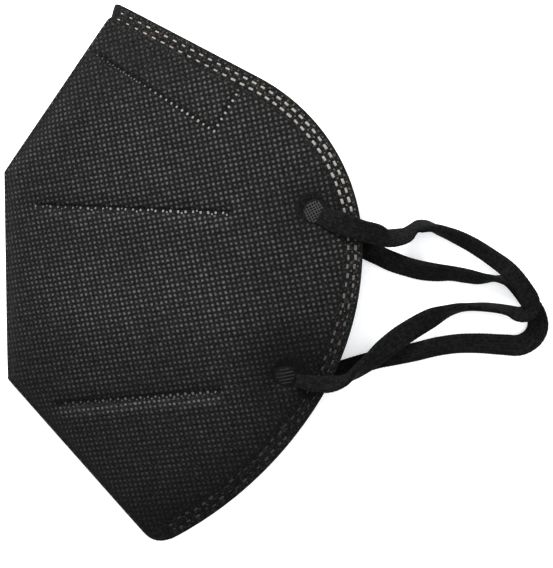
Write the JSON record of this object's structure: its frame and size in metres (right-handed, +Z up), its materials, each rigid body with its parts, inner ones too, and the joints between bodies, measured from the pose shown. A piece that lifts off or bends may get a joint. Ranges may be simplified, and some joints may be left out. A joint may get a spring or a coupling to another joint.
{
  "type": "respirator mask",
  "caption": "Fold-flat cloth respirator mask lying on its side, hollow and open along its curved rim, with flat elastic ear loops.",
  "frame": {"origin": "under the middle of the mask body's bounding box, on the table", "axes": "+X from the fold towards the open rim and the ear loops, +Y from the chin towards the nose, +Z up from the table"},
  "size_m": [0.163, 0.161, 0.0143],
  "materials": {
    "nonwoven_cloth": "matt black spunbond nonwoven with a fine lattice of round bond dots",
    "elastic_strap": "matt black knitted elastic with fine lengthwise ribs",
    "pressed_weld": "cloth and strap pressed together by a cross-hatched weld tool, slightly glossy"
  },
  "bodies": {
    "root": {"mask_body": "nonwoven_cloth", "near_ear_loop": "elastic_strap", "far_ear_loop": "elastic_strap", "near_upper_weld_pad": "pressed_weld", "near_lower_weld_pad": "pressed_weld", "far_upper_weld_pad": "pressed_weld", "far_lower_weld_pad": "pressed_weld"}
  },
  "joints": []
}
